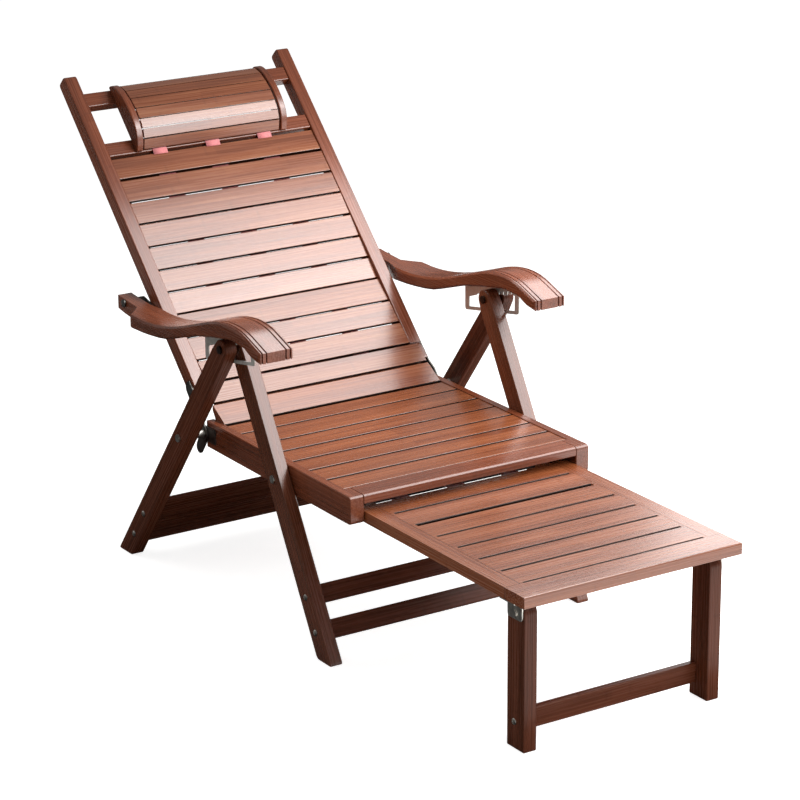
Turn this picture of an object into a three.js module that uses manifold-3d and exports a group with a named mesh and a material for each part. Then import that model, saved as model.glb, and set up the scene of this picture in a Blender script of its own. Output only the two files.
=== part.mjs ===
// Folding bamboo recliner with a slatted seat and back, a half-round headrest, curved arms on
// toothed racks, and a footrest that slides out from under the seat. Millimetres, z up, the
// sitter faces -y, and "right" is +x. The origin is on the floor, in the middle of the chair.

import * as THREE from "three";
import { mergeVertices } from "three/addons/utils/BufferGeometryUtils.js";
import Module from "manifold-3d";

const wasm = await Module();
wasm.setup();

// Fits that every piece shares
const seatingGap = 0.3;
const turningGap = 1;
const overrunLength = 4;
const easeRadius = 1.5;

// Seat frame: two rails, a nose board and slats let into a rebate
const seatHeight = 343;
const railLength = 537;
const railHeight = 55;
const railThickness = 30.5;
const railNoseRadius = 8;
const lipWidth = 17;
const noseDepth = 48;
const noseThickness = 18;
const noseRadius = 7;
const seatSlatThickness = 12;
const seatSlatDropHeight = 1.5;
const slatGap = 4.5;
const seatGapShares = [0, 0.1448, 0.2873, 0.4253, 0.5633, 0.7036, 0.8665, 1];
const slatTailLength = 47;
const coveDepth = 52;
const coveStepHeight = 7.5;
const coveRiseHeight = 20.5;
const coveThickness = 11;

// Back: stiles, rails and slats, leaning back from the hinge
const backHalfWidth = 270;
const backLean = THREE.MathUtils.degToRad(44.7);
const stileThickness = 29;
const stileDepth = 33;
const stileLength = 784;
const stileStartDistance = 55.6;
const stileFrontDistance = 25.4;
const stileRadius = 8;
const backRailWidth = 33;
const backRailDepth = 23;
const backRailSetDepth = 3;
const topRailDropHeight = 45;
const windowHeight = 91;
const backSlatThickness = 8;
const slattedBackLength = 593;
const backSlatPitchShares = [
  0.0927, 0.0938, 0.0901, 0.0917, 0.0916, 0.0865, 0.0877, 0.0961, 0.0927, 0.0927, 0.0844,
];
const backDishDepth = 12;
const backSlatRiseShares = [
  -0.458, -0.25, -0.167, -0.167, -0.292, -0.458, -0.583, -0.75, -0.292, -0.125, 0.25, 1,
];
const hingeClearRadius = 55;

// Webbing behind the slats
const webWidth = 38;
const webSpacing = 125;
const webThickness = 1.5;

// Headrest on the front of the two rails
const headrestHalfWidth = 180;
const cheekThickness = 15;
const headrestHeight = 162;
const headrestDepth = 41;
const headrestShares = [
  [0, 0.14], [0.05, 0.42], [0.117, 0.66], [0.2, 0.84], [0.296, 0.94], [0.4, 0.99], [0.506, 1],
  [0.62, 0.95], [0.728, 0.854], [0.82, 0.74], [0.907, 0.561], [0.965, 0.36], [1, 0.12],
];
const headSlatCount = 8;
const headSlatRimDepth = 2.5;
const headSlatThickness = 8;
const headGrooveWidth = 2;
const headGrooveDepth = 4.5;

// Legs: two crossed pairs that meet at the pin under each arm
const apexAheadDistance = 173;
const apexAboveSeatHeight = 202;
const legWidth = 45;
const frontLegThickness = 27;
const rearLegThickness = 26;
const frontSpreadDistance = 310;
const footRadius = 8;
const legTopRadius = 19.5;
const stretcherWidth = 37;
const stretcherThickness = 12;
const frontStretcherUpperHeight = 113;
const frontStretcherLowerHeight = 52.5;
const rearBoardWidth = 70.5;
const rearBoardGap = 2;
const rearBoardHeight = 111.5;

// Metal: hinges, pins and racks
const hingeBehindRailGap = 2.5;
const hingeDropHeight = 26;
const plateThickness = 3;
const plateRadius = 15;
const seatPlateLength = 40;
const seatPlateLobeShares = [0.57, -0.92];
const seatPlateLobeRadius = 12;
const backPlateLength = 112;
const backPlateStraightLength = 30;
const boltRadius = 4;
const boltHeadRadius = 8;
const boltHeadThickness = 3.5;
const tubeRadius = 8;
const apexPinRadius = 5;
const studRadius = 5;
const studDepth = 14;
const boreClearance = 0.3;
const rackClearance = 3;
const rackThickness = 2;
const rackStripWidth = 7;
const rackTabWidth = 14;
const rackFrontLength = 80;
const rackRearLength = 110;
const rackFrontDropHeight = 17;
const rackRearDropHeight = 52;
const toothWidth = 7;
const toothDepth = 7;
const reclineUp = THREE.MathUtils.degToRad(12);
const reclineDown = THREE.MathUtils.degToRad(-16);
const reclineStepCount = 7;
const armRatio = -0.533;
const foldSeatRatio = -0.8;

// Arms: a swept board that narrows to a tongue at the back
const armPivotHeight = 325.6;
const armPivotBehindDistance = 17.7;
const armBracketHeight = 282;
const armBracketRadius = 9;
const armBracketThickness = 3;
const armFrontLength = 174;
const armTailLength = 28.5;
const armHeight = 104.5;
const armOverhangWidth = 16;
const armPinShare = 0.2790;
const armPivotShares = [0.9544, 0.2346];
const armTopShares = [
  [0, 0.742], [0.0563, 0.856], [0.1126, 0.962], [0.1765, 1], [0.2405, 0.971], [0.2996, 0.895],
  [0.3416, 0.818], [0.4008, 0.699], [0.4762, 0.55], [0.5659, 0.402], [0.6575, 0.302], [0.7377, 0.262],
  [0.8016, 0.262], [0.8481, 0.275], [0.912, 0.296], [0.976, 0.325], [1, 0.339],
];
const armUnderShares = [
  [0, 0.541], [0.0515, 0.589], [0.0926, 0.694], [0.1384, 0.713], [0.1785, 0.725], [0.2634, 0.638],
  [0.3254, 0.56], [0.3674, 0.508], [0.4094, 0.45], [0.5039, 0.268], [0.5936, 0.11], [0.7138, 0.024],
  [0.8016, 0], [0.8722, -0.006], [0.9342, 0.015], [0.976, 0.047], [1, 0.076],
];
const armEaseRadius = 4;
const tongueThickness = 31;
const tongueGap = 14;
const tongueStartShare = 0.812;
const tongueEndShare = 0.872;
const innerCutShare = 0.79;
const armGrooveWidth = 2.6;
const armGrooveDepth = 2.2;
const armGrooveInset = 7.5;
const armGrooveSpacing = 9.5;
const armGrooveShare = 0.4;

// Footrest: a slatted frame on runners, with a folding pair of legs at its front
const footSideGap = 2.5;
const footStepHeight = 33.6;
const footrestThickness = 22;
const footRailWidth = 40;
const footSlatThickness = 12;
const footrestReachLength = 511;
const footFrontBoardWidth = 61;
const footGapShares = [0.8806, 0.7495, 0.6145, 0.4814, 0.3513, 0.2172, 0.0724];
const footGapWidth = 4;
const footWideGapWidth = 9;
const footWideGapNumber = 5;
const footTailLength = 116;
const footTailBarWidth = 40;
const footRearBoardWidth = 62;
const runnerReachWidth = 7;
const runnerHeight = 7;
const runnerLiftHeight = 8;
const runnerStartDistance = 13;
const footLegThickness = 28;
const footLegDepth = 52.8;
const footLegInsetDistance = 28.4;
const footLegSideInset = 21;
const footLegDropGap = 2;
const footBracketThickness = 2.5;
const footBracketHeight = 39;
const footStretcherWidth = 39;
const footStretcherThickness = 15;
const footStretcherLiftHeight = 27;

// Layers from the middle of the chair outwards, as half widths
const stileInner = backHalfWidth - stileThickness;
const railOuter = backHalfWidth + turningGap * 2;
const railInner = railOuter - railThickness;
const slattedDepth = railLength - noseDepth - slatTailLength;
const lipInner = railOuter - lipWidth;
const frontLegInner = railOuter + turningGap;
const frontLegOuter = frontLegInner + frontLegThickness;
const rackInner = frontLegOuter + rackClearance;
const rackOuter = rackInner + rackThickness;
const rearLegInner = rackOuter + rackClearance;
const rearLegOuter = rearLegInner + rearLegThickness;
const armInner = frontLegInner + turningGap;
const armOuter = rearLegOuter + armOverhangWidth;
const tongueInner = backHalfWidth + tongueGap;
const tongueOuter = tongueInner + tongueThickness;
const seatPlateInner = railOuter + seatingGap;
const backPlateInner = seatPlateInner + plateThickness + seatingGap;
const footHalf = railInner - footSideGap;
const footLegOuter = footHalf - footLegSideInset;
const cheekInner = headrestHalfWidth - cheekThickness;

// Points in the side view, as [rearward, up]
const hinge = [railLength + hingeBehindRailGap, seatHeight - hingeDropHeight];
const apexBack = railLength - apexAheadDistance;
const apexHeight = seatHeight + apexAboveSeatHeight;
const apex = [apexBack, apexHeight];
const frontFoot = apexBack - frontSpreadDistance;
const rearFoot = apexBack + ((hinge[0] - apexBack) * apexHeight) / (apexHeight - hinge[1]);
const up = [Math.sin(backLean), Math.cos(backLean)];
const front = [-Math.cos(backLean), Math.sin(backLean)];
const onBack = (along, ahead) => [
  hinge[0] + up[0] * along + front[0] * ahead,
  hinge[1] + up[1] * along + front[1] * ahead,
];
const armPivot = onBack(armPivotHeight, stileFrontDistance - stileDepth - armPivotBehindDistance);
const studHeight = seatHeight - railHeight / 2;
const stud = [
  frontFoot + ((apexBack - frontFoot) * studHeight) / apexHeight,
  studHeight,
];

// Side-view helpers
const add = (p, q, k = 1) => [p[0] + q[0] * k, p[1] + q[1] * k];
const unit = (p) => [p[0] / Math.hypot(...p), p[1] / Math.hypot(...p)];
const turn = (p, centre, angle) => {
  const [y, z] = add(p, centre, -1);
  return [
    centre[0] + y * Math.cos(angle) - z * Math.sin(angle),
    centre[1] + y * Math.sin(angle) + z * Math.cos(angle),
  ];
};
const box2 = (y0, y1, z0, z1) => [[y0, z0], [y1, z0], [y1, z1], [y0, z1]];
const circle = (centre, radius, sides = 24) =>
  Array.from({ length: sides }, (_, i) => {
    const a = (2 * Math.PI * (i + 0.5)) / sides;
    return [centre[0] + radius * Math.cos(a), centre[1] + radius * Math.sin(a)];
  });
const smooth = (points, count) =>
  new THREE.SplineCurve(points.map((p) => new THREE.Vector2(...p)))
    .getPoints(count)
    .map((p) => [p.x, p.y]);

// Rounds each corner of an outline by its own radius, with a short arc
function rounded(points, radii, steps = 3) {
  const list = Array.isArray(radii) ? radii : points.map(() => radii);
  return points.flatMap((p, i) => {
    if (!list[i]) return [p];
    const n = points.length;
    const before = add(points[(i + n - 1) % n], p, -1);
    const after = add(points[(i + 1) % n], p, -1);
    const reach = Math.min(list[i], Math.hypot(...before) / 2.1, Math.hypot(...after) / 2.1);
    const a = add(p, unit(before), reach);
    const b = add(p, unit(after), reach);
    return Array.from({ length: steps + 1 }, (_, k) => {
      const t = k / steps;
      const u = 1 - t;
      return [0, 1].map((j) => u * u * a[j] + 2 * u * t * p[j] + t * t * b[j]);
    });
  });
}

// Solids: an outline in the side view that runs across the chair between two half widths
const sideView = new THREE.Matrix4().makeBasis(
  new THREE.Vector3(0, 1, 0),
  new THREE.Vector3(0, 0, 1),
  new THREE.Vector3(1, 0, 0),
);
function solidOf(geometry) {
  geometry.deleteAttribute("normal");
  geometry.deleteAttribute("uv");
  const merged = mergeVertices(geometry, 1e-4);
  return new wasm.Manifold(
    new wasm.Mesh({
      numProp: 3,
      vertProperties: new Float32Array(merged.attributes.position.array),
      triVerts: new Uint32Array(merged.index.array),
    }),
  );
}
function run(outline, from, to, bevel = 0) {
  const shape = new THREE.Shape(outline.map((p) => new THREE.Vector2(...p)));
  const geometry = new THREE.ExtrudeGeometry(shape, {
    depth: to - from - 2 * bevel,
    bevelEnabled: bevel > 0,
    bevelSize: bevel,
    bevelThickness: bevel,
    bevelOffset: -bevel,
    bevelSegments: 1,
    steps: 1,
  });
  geometry.translate(0, 0, from + bevel);
  return solidOf(geometry.applyMatrix4(sideView));
}
const planView = (outline, from, to) => {
  const shape = new THREE.Shape(outline.map((p) => new THREE.Vector2(...p)));
  const geometry = new THREE.ExtrudeGeometry(shape, { depth: to - from, bevelEnabled: false });
  return solidOf(geometry.translate(0, 0, from));
};
const backView = new THREE.Matrix4().makeBasis(
  new THREE.Vector3(0, ...up),
  new THREE.Vector3(1, 0, 0),
  new THREE.Vector3(0, -front[0], -front[1]),
);
const acrossBack = (outline, from, to) => {
  const shape = new THREE.Shape(outline.map((p) => new THREE.Vector2(...p)));
  const geometry = new THREE.ExtrudeGeometry(shape, { depth: to - from, bevelEnabled: false });
  geometry.translate(0, 0, from).applyMatrix4(backView);
  return solidOf(geometry.translate(0, ...hinge));
};
const disc = (centre, radius, from, to, sides = 20) => run(circle(centre, radius, sides), from, to);
const joined = (solids) => solids.reduce((whole, solid) => whole.add(solid));
const back2 = (outline) => outline.map(([along, ahead]) => onBack(along, ahead));

// Finishes
const finishes = {
  bamboo: { color: "#7d4229", roughness: 0.38, metalness: 0 },
  dark: { color: "#4a241a", roughness: 0.42, metalness: 0 },
  pale: { color: "#9a5a3c", roughness: 0.36, metalness: 0 },
  steel: { color: "#c9c8c4", roughness: 0.3, metalness: 1 },
  webbing: { color: "#f0a2a4", roughness: 0.9, metalness: 0 },
};

const chair = new THREE.Group();
function piece(name, finish, solid) {
  const mesh = solid.getMesh();
  const geometry = new THREE.BufferGeometry();
  geometry.setAttribute("position", new THREE.BufferAttribute(new Float32Array(mesh.vertProperties), 3));
  geometry.setIndex(new THREE.BufferAttribute(new Uint32Array(mesh.triVerts), 1));
  const flat = geometry.toNonIndexed();
  flat.computeVertexNormals();
  const made = new THREE.Mesh(flat, new THREE.MeshStandardMaterial(finishes[finish]));
  made.name = name;
  chair.add(made);
}
const mirror = (solid) => solid.mirror([1, 0, 0]);
function pair(name, finish, solid) {
  piece(`${name}_right`, finish, solid);
  piece(`${name}_left`, finish, mirror(solid));
}

// The stud's path in the seat as the legs fold, which shapes the hook in each rail
const studTravel = Array.from({ length: 9 }, (_, i) => {
  const fold = THREE.MathUtils.degToRad(i);
  return turn(turn(stud, apex, fold), hinge, -fold * foldSeatRatio);
});
function band(path, halfWidth) {
  const sides = [[], []];
  path.forEach((p, i) => {
    const along = unit(add(path[Math.min(i + 1, path.length - 1)], path[Math.max(i - 1, 0)], -1));
    sides[0].push(add(p, [-along[1], along[0]], halfWidth));
    sides[1].unshift(add(p, [along[1], -along[0]], halfWidth));
  });
  return [...sides[0], ...sides[1]];
}

// Seat rails, with the slat rebate, the runner groove and the hook for the leg stud
const railUnder = seatHeight - railHeight;
const slatTop = seatHeight - seatSlatDropHeight;
const slatUnder = slatTop - seatSlatThickness;
const rebateFloor = slatUnder - seatingGap;
const footTop = seatHeight - footStepHeight;
const footUnder = footTop - footrestThickness;
const runnerBase = footUnder + runnerLiftHeight;
const railOutline = rounded(box2(0, railLength, railUnder, seatHeight), [railNoseRadius, 0, 0, railNoseRadius]);
const railBody = run(railOutline, railInner, railOuter, easeRadius)
  .subtract(
    run(
      box2(noseDepth + seatingGap, railLength + overrunLength, rebateFloor, seatHeight + overrunLength),
      railInner - overrunLength,
      lipInner,
    ),
  )
  .subtract(
    run(
      box2(
        runnerStartDistance - seatingGap,
        railLength + overrunLength,
        runnerBase - turningGap / 2,
        runnerBase + runnerHeight + turningGap / 2,
      ),
      railInner - overrunLength,
      footHalf + runnerReachWidth + turningGap,
    ),
  )
  .subtract(
    joined([
      run(band(studTravel, studRadius + boreClearance * 2), railOuter - studDepth - turningGap, railOuter + overrunLength),
      disc(stud, studRadius + boreClearance * 2, railOuter - studDepth - turningGap, railOuter + overrunLength),
    ]),
  );
pair("seat_rail", "dark", railBody);

// Nose board and seat slats
piece(
  "seat_nose_board",
  "bamboo",
  run(
    rounded(box2(0, noseDepth, seatHeight - noseThickness, seatHeight), [easeRadius, 0, 0, noseRadius]),
    -railInner + seatingGap,
    railInner - seatingGap,
  ),
);
const seatGaps = seatGapShares.map((share) => noseDepth + share * slattedDepth);
seatGaps.slice(0, -1).forEach((gap, i) => {
  const from = i ? gap + slatGap / 2 : gap + slatGap;
  const outline = box2(from, seatGaps[i + 1] - slatGap / 2, slatUnder, slatTop);
  piece(
    `seat_slat_${i + 1}`,
    "bamboo",
    run(rounded(outline, easeRadius, 1), -lipInner + seatingGap, lipInner - seatingGap),
  );
});

// The last seat piece climbs towards the back, over the hinge
const coveFront = seatGaps[seatGaps.length - 1] + slatGap / 2;
const coveLow = seatHeight + coveStepHeight - easeRadius;
piece(
  "seat_rear_slat",
  "bamboo",
  run(
    rounded(
      [
        [coveFront, slatUnder],
        [coveFront + coveDepth / 2, slatUnder],
        [coveFront + coveDepth, coveLow + coveRiseHeight - coveThickness],
        [coveFront + coveDepth, coveLow + coveRiseHeight],
        [coveFront, coveLow],
      ],
      [0, 0, easeRadius, easeRadius * 2, easeRadius],
      2,
    ),
    -lipInner + seatingGap,
    lipInner - seatingGap,
  ),
);

// Back stiles, notched for the lowest slat
const backSlatPitches = backSlatPitchShares.map((share) => share * slattedBackLength);
const gapsUp = backSlatPitches.reduce((list, pitch) => [...list, list[list.length - 1] - pitch], [
  stileStartDistance + stileLength - topRailDropHeight - 2 * backRailWidth - windowHeight - slatGap / 2 - turningGap,
]);
const faceAt = backSlatRiseShares.map((share) => stileFrontDistance + share * backDishDepth);
const lowGap = gapsUp[gapsUp.length - 2];
const stileTop = stileStartDistance + stileLength;
const notchFloor = faceAt[faceAt.length - 2] - backSlatThickness - seatingGap * 2;
const lowSlope = (faceAt[faceAt.length - 1] - faceAt[faceAt.length - 2]) / backSlatPitches.at(-1);
const notchEnd = lowGap - (stileFrontDistance - notchFloor) / lowSlope;
const stileOutline = rounded(
  back2([
    [stileStartDistance, stileFrontDistance - stileDepth],
    [stileStartDistance, stileFrontDistance],
    [Math.max(notchEnd, stileStartDistance + turningGap), stileFrontDistance],
    [lowGap + slatGap / 2, notchFloor],
    [lowGap + slatGap / 2, stileFrontDistance],
    [stileTop, stileFrontDistance],
    [stileTop, stileFrontDistance - stileDepth],
  ]),
  [easeRadius * 2, 0, 0, 0, 0, stileRadius, stileRadius],
);
pair("back_stile", "bamboo", run(stileOutline, stileInner, backHalfWidth, easeRadius));

// Back rails
const railFace = stileFrontDistance - backRailSetDepth;
const topRailUp = stileTop - topRailDropHeight - backRailWidth;
const headRailUp = topRailUp - windowHeight - backRailWidth;
const crossRail = (base) =>
  run(
    rounded(
      back2([
        [base, railFace - backRailDepth],
        [base, railFace],
        [base + backRailWidth, railFace],
        [base + backRailWidth, railFace - backRailDepth],
      ]),
      easeRadius,
      1,
    ),
    -stileInner + seatingGap,
    stileInner - seatingGap,
  );
piece("back_top_rail", "bamboo", crossRail(topRailUp));
piece("back_head_rail", "bamboo", crossRail(headRailUp));

// Back slats, dished along the back; the lowest lies on the stile ends and clears the hinge
const slatFace = (i, inset) => {
  const slope = (faceAt[i + 1] - faceAt[i]) / backSlatPitches[i];
  return [gapsUp[i] - inset, faceAt[i] + slope * inset];
};
backSlatPitches.forEach((pitch, i) => {
  const lowest = i === backSlatPitches.length - 1;
  const top = slatFace(i, slatGap / 2);
  const low = slatFace(i, pitch - slatGap / 2);
  const half = lowest ? lipInner : stileInner - seatingGap;
  const outline = rounded(
    back2([top, low, [low[0], low[1] - backSlatThickness], [top[0], top[1] - backSlatThickness]]),
    easeRadius,
    1,
  );
  const slat = run(outline, -half, half);
  piece(
    `back_slat_${i + 1}`,
    "pale",
    lowest ? slat.subtract(disc(hinge, hingeClearRadius, -half - overrunLength, half + overrunLength, 120)) : slat,
  );
});

// Three webbing straps behind the slats, stitched to a tape along the head rail
const webFace = (i) => faceAt[i] - backSlatThickness - seatingGap;
const webRuns = gapsUp.slice(0, -2);
const webLine = [
  ...webRuns.map((along, i) => [along, webFace(i) - turningGap / 2]),
  [lowGap, webFace(webRuns.length) - turningGap / 2],
].reverse();
const webTop = railFace - backRailDepth - seatingGap;
const webOuter = [...webLine, [headRailUp, webTop], [headRailUp + backRailWidth - easeRadius, webTop]];
const webOutline = back2([
  ...webOuter,
  ...webOuter.map(([along, ahead]) => [along, ahead - webThickness]).reverse(),
]);
const tape = back2([
  [headRailUp + easeRadius, webTop],
  [headRailUp + backRailWidth - easeRadius, webTop],
  [headRailUp + backRailWidth - easeRadius, webTop - webThickness],
  [headRailUp + easeRadius, webTop - webThickness],
]);
const straps = [-webSpacing, 0, webSpacing].map((x) => run(webOutline, x - webWidth / 2, x + webWidth / 2));
piece("back_webbing", "webbing", joined([run(tape, -webSpacing, webSpacing), ...straps]));

// Headrest: two D-shaped cheeks with narrow slats bent round between them
const headBase = headRailUp + backRailWidth - headrestHeight * 0.2;
const headSeat = railFace + seatingGap;
const headPoint = ([along, ahead]) => [
  headBase + along * headrestHeight,
  headSeat + ahead * headrestDepth,
];
const headCurve = smooth(headrestShares.map(headPoint), 40);
pair(
  "headrest_cheek",
  "bamboo",
  run(
    back2([[headBase, headSeat], ...headCurve, [headBase + headrestHeight, headSeat]]),
    cheekInner,
    headrestHalfWidth,
    easeRadius,
  ),
);
const inward = (i, depth) => {
  const a = headCurve[Math.max(i - 1, 0)];
  const b = headCurve[Math.min(i + 1, headCurve.length - 1)];
  const along = unit(add(b, a, -1));
  return add(headCurve[i], [along[1], -along[0]], depth);
};
const stepsPerSlat = (headCurve.length - 1) / headSlatCount;
const headOuter = headCurve.flatMap((_, i) => {
  const face = inward(i, headSlatRimDepth);
  if (i % stepsPerSlat || !i || i === headCurve.length - 1) return [face];
  const along = unit(add(headCurve[i + 1], headCurve[i - 1], -1));
  const floor = inward(i, headSlatRimDepth + headGrooveDepth);
  return [
    add(face, along, -headGrooveWidth / 2),
    add(floor, along, -headGrooveWidth / 2),
    add(floor, along, headGrooveWidth / 2),
    add(face, along, headGrooveWidth / 2),
  ];
});
const headInner = headCurve
  .map((_, i) => inward(i, headSlatRimDepth + headSlatThickness))
  .filter((p, i) => i > 1 && i < headCurve.length - 2 && p[1] > headSeat);
piece(
  "headrest_slats",
  "pale",
  run(back2([...headOuter, ...headInner.reverse()]), -cheekInner + seatingGap, cheekInner - seatingGap),
);

// A leg from its foot to just past the apex pin, flat on the floor
function legSolid(foot, inner, outer) {
  const along = unit(add(apex, [foot, 0], -1));
  const across = [along[1], -along[0]];
  const cap = Array.from({ length: 13 }, (_, i) => {
    const a = (Math.PI * i) / 12;
    return add(
      add(apex, across, legTopRadius * Math.cos(a)),
      along,
      legTopRadius * Math.sin(a),
    );
  });
  const neck = add(apex, along, -legTopRadius);
  const floorAt = (side) => {
    const p = add(apex, across, (side * legWidth) / 2);
    return [p[0] - (along[0] / along[1]) * p[1], 0];
  };
  const outline = [
    add(neck, across, -legWidth / 2),
    floorAt(-1),
    floorAt(1),
    add(neck, across, legWidth / 2),
    ...cap,
  ];
  const round = outline.map((_, i) => (i === 1 || i === 2 ? footRadius : 0));
  return run(rounded(outline, round), inner, outer, easeRadius);
}
const bore = (centre, radius, inner, outer) =>
  disc(centre, radius + boreClearance, inner - overrunLength, outer + overrunLength);
pair(
  "front_leg",
  "dark",
  legSolid(frontFoot, frontLegInner, frontLegOuter)
    .subtract(bore(apex, apexPinRadius, frontLegInner, frontLegOuter))
    .subtract(bore(stud, studRadius, frontLegInner, frontLegOuter)),
);
pair(
  "rear_leg",
  "dark",
  legSolid(rearFoot, rearLegInner, rearLegOuter)
    .subtract(bore(apex, apexPinRadius, rearLegInner, rearLegOuter))
    .subtract(bore(hinge, boltRadius, rearLegInner, rearLegOuter)),
);

// Stretchers between the legs, turned with them
function stretcher(foot, height, width, half) {
  const along = unit(add(apex, [foot, 0], -1));
  const across = [along[1], -along[0]];
  const centre = [foot + ((apexBack - foot) * height) / apexHeight, height];
  const corner = (a, b) => add(add(centre, along, (a * width) / 2), across, (b * stretcherThickness) / 2);
  return run(rounded([corner(-1, -1), corner(-1, 1), corner(1, 1), corner(1, -1)], easeRadius, 1), -half, half);
}
[frontStretcherUpperHeight, frontStretcherLowerHeight].forEach((height, i) =>
  piece(
    `front_stretcher_${["upper", "lower"][i]}`,
    "dark",
    stretcher(frontFoot, height, stretcherWidth, frontLegInner - seatingGap),
  ),
);
const rearRise = unit(add(apex, [rearFoot, 0], -1))[1];
[0, 1].forEach((i) =>
  piece(
    `rear_stretcher_${["upper", "lower"][i]}`,
    "dark",
    stretcher(
      rearFoot,
      rearBoardHeight - i * (rearBoardWidth + rearBoardGap) * rearRise,
      rearBoardWidth,
      rearLegInner - seatingGap,
    ),
  ),
);

// Pins and bolts: apex pins, leg studs, hinge bolts with their tubes, and the arm bolts, each on
// a bracket at the back edge of its stile
pair(
  "apex_pin",
  "steel",
  joined([
    disc(apex, apexPinRadius, frontLegInner - boltHeadThickness - seatingGap, rearLegOuter + boltHeadThickness),
    disc(apex, boltHeadRadius, frontLegInner - boltHeadThickness - seatingGap, frontLegInner - seatingGap),
    disc(apex, boltHeadRadius, rearLegOuter + seatingGap, rearLegOuter + boltHeadThickness + seatingGap),
  ]),
);
pair(
  "seat_stud",
  "steel",
  joined([
    disc(stud, studRadius, railOuter - studDepth, frontLegOuter + rackThickness),
    disc(stud, boltHeadRadius, frontLegOuter + seatingGap, frontLegOuter + rackThickness + seatingGap),
  ]),
);
pair(
  "hinge_bolt",
  "steel",
  joined([
    disc(hinge, boltRadius, seatPlateInner + seatingGap, rearLegOuter + boltHeadThickness),
    disc(hinge, tubeRadius, backPlateInner + plateThickness + seatingGap, rearLegInner - seatingGap),
    disc(hinge, boltHeadRadius, rearLegOuter + seatingGap, rearLegOuter + boltHeadThickness + seatingGap),
  ]),
);
const bracketInside = backHalfWidth + seatingGap;
const bracketOutside = bracketInside + armBracketThickness;
const bracketFoot = onBack(armBracketHeight, stileFrontDistance - stileDepth + armBracketRadius);
pair(
  "arm_bracket",
  "steel",
  joined([
    wasm.Manifold.hull([
      disc(armPivot, boltHeadRadius, bracketInside, bracketOutside),
      disc(bracketFoot, armBracketRadius, bracketInside, bracketOutside),
    ]),
    disc(armPivot, boltRadius, bracketInside, tongueOuter + boltHeadThickness),
    disc(armPivot, boltHeadRadius, bracketInside, tongueInner - seatingGap),
    disc(armPivot, boltHeadRadius, tongueOuter + seatingGap, tongueOuter + boltHeadThickness + seatingGap),
  ]),
);

// Hinge plates: one flat on the rail with a lobe below its end, one cranked out from the stile to pass over it
const plateHole = disc(hinge, boltRadius + boreClearance, railInner, rearLegInner);
const seatPlateEnd = add(hinge, [-1, 0], seatPlateLength);
pair(
  "seat_hinge_plate",
  "steel",
  joined([
    run(
      box2(seatPlateEnd[0], hinge[0], hinge[1] - plateRadius, hinge[1] + plateRadius),
      seatPlateInner,
      seatPlateInner + plateThickness,
    ),
    wasm.Manifold.hull([
      disc(hinge, plateRadius, seatPlateInner, seatPlateInner + plateThickness, 28),
      disc(
        add(hinge, seatPlateLobeShares, seatPlateLength),
        seatPlateLobeRadius,
        seatPlateInner,
        seatPlateInner + plateThickness,
      ),
    ]),
  ]).subtract(plateHole),
);
const crankEnd = stileStartDistance - plateThickness * 2;
const backPlateBlank = acrossBack(
  [
    [-plateRadius, backPlateInner],
    [backPlateStraightLength, backPlateInner],
    [crankEnd, backHalfWidth + seatingGap],
    [backPlateLength, backHalfWidth + seatingGap],
    [backPlateLength, backHalfWidth + seatingGap + plateThickness],
    [crankEnd + plateThickness / 2, backHalfWidth + seatingGap + plateThickness],
    [backPlateStraightLength + plateThickness / 2, backPlateInner + plateThickness],
    [-plateRadius, backPlateInner + plateThickness],
  ],
  -plateRadius - overrunLength,
  plateRadius + overrunLength,
);
const backPlateShape = run(
  back2([
    ...Array.from({ length: 13 }, (_, i) => {
      const a = (Math.PI * (i + 6)) / 12;
      return [plateRadius * Math.cos(a), -plateRadius * Math.sin(a)];
    }).reverse(),
    ...Array.from({ length: 13 }, (_, i) => {
      const a = (Math.PI * (i - 6)) / 12;
      return [
        backPlateLength - plateRadius + plateRadius * Math.cos(a),
        plateRadius * 0.6 - plateRadius * Math.sin(a),
      ];
    }).reverse(),
  ]),
  railInner,
  rearLegInner,
);
pair("back_hinge_plate", "steel", backPlateBlank.intersect(backPlateShape).subtract(plateHole));

// Arms: the side outline, cut in plan to a tongue at the back
const armStations = [
  [0, apex[0] - armFrontLength],
  [armPinShare, apex[0]],
  [armPivotShares[0], armPivot[0]],
  [1, armPivot[0] + armTailLength],
];
const armAt = ([along, rise]) => {
  const i = Math.max(1, armStations.findIndex((station) => station[0] >= along));
  const [a, b] = [armStations[i - 1], armStations[i]];
  return [
    a[1] + ((b[1] - a[1]) * (along - a[0])) / (b[0] - a[0]),
    armPivot[1] + (rise - armPivotShares[1]) * armHeight,
  ];
};
const armTop = smooth(armTopShares.map(armAt), 34);
const armUnder = smooth(armUnderShares.map(armAt), 34);
const alongArm = (share) => armAt([share, 0])[0];
const plan = [
  [armInner, alongArm(0) - overrunLength],
  [armOuter, alongArm(0) - overrunLength],
  ...smooth(
    [
      [armOuter, alongArm(tongueStartShare)],
      [armOuter - (armOuter - tongueOuter) * 0.45, alongArm((tongueStartShare + tongueEndShare) / 2) - overrunLength],
      [tongueOuter, alongArm(tongueEndShare)],
    ],
    5,
  ),
  [tongueOuter, alongArm(1) + overrunLength],
  [tongueInner, alongArm(1) + overrunLength],
  [tongueInner, alongArm(tongueEndShare)],
  [armInner, alongArm(innerCutShare)],
];
const armSection = run([...armTop, ...armUnder.slice().reverse()], armInner, armOuter, armEaseRadius);
const topAt = (y) => {
  const i = Math.max(1, armTop.findIndex((p) => p[0] >= y));
  const [a, b] = [armTop[i - 1], armTop[i]];
  return a[1] + ((b[1] - a[1]) * (y - a[0])) / (b[0] - a[0]);
};
const underAt = (y) => {
  const found = armUnder.findIndex((p) => p[0] >= y);
  const i = found < 1 ? (found < 0 ? armUnder.length - 1 : 1) : found;
  const [a, b] = [armUnder[i - 1], armUnder[i]];
  return a[1] + ((b[1] - a[1]) * (y - a[0])) / (b[0] - a[0]);
};
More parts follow.
